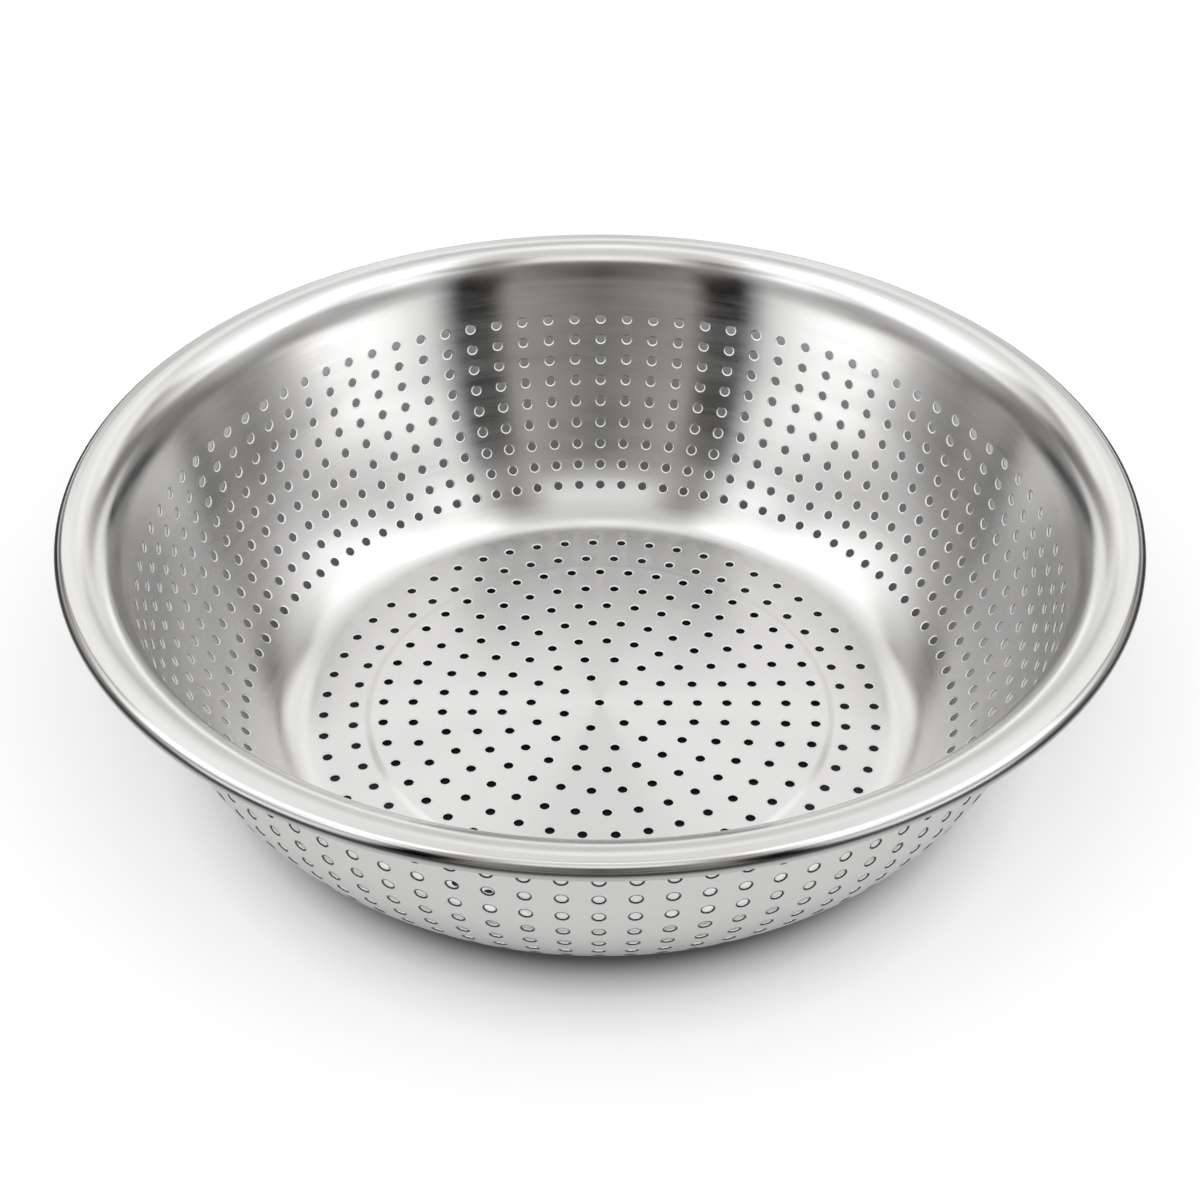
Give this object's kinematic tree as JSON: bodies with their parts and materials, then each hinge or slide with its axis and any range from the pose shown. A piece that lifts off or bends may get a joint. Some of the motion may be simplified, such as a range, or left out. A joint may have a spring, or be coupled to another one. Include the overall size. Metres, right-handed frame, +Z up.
{
  "type": "colander",
  "caption": "Wide, shallow round colander of thin stainless steel, with a flat holed floor, a curved holed wall and a level brim that ends in a curled edge.",
  "frame": {"origin": "centre of the flat face that the colander stands on", "axes": "+Z up along the colander's axis of revolution, X and Y level, with the first hole of every row and ring on +X"},
  "size_m": [0.3, 0.2998, 0.0836],
  "materials": {
    "steel": "bright stainless steel, finely brushed in circles inside and polished on the brim"
  },
  "bodies": {
    "root": {"basin": "steel"}
  },
  "joints": []
}
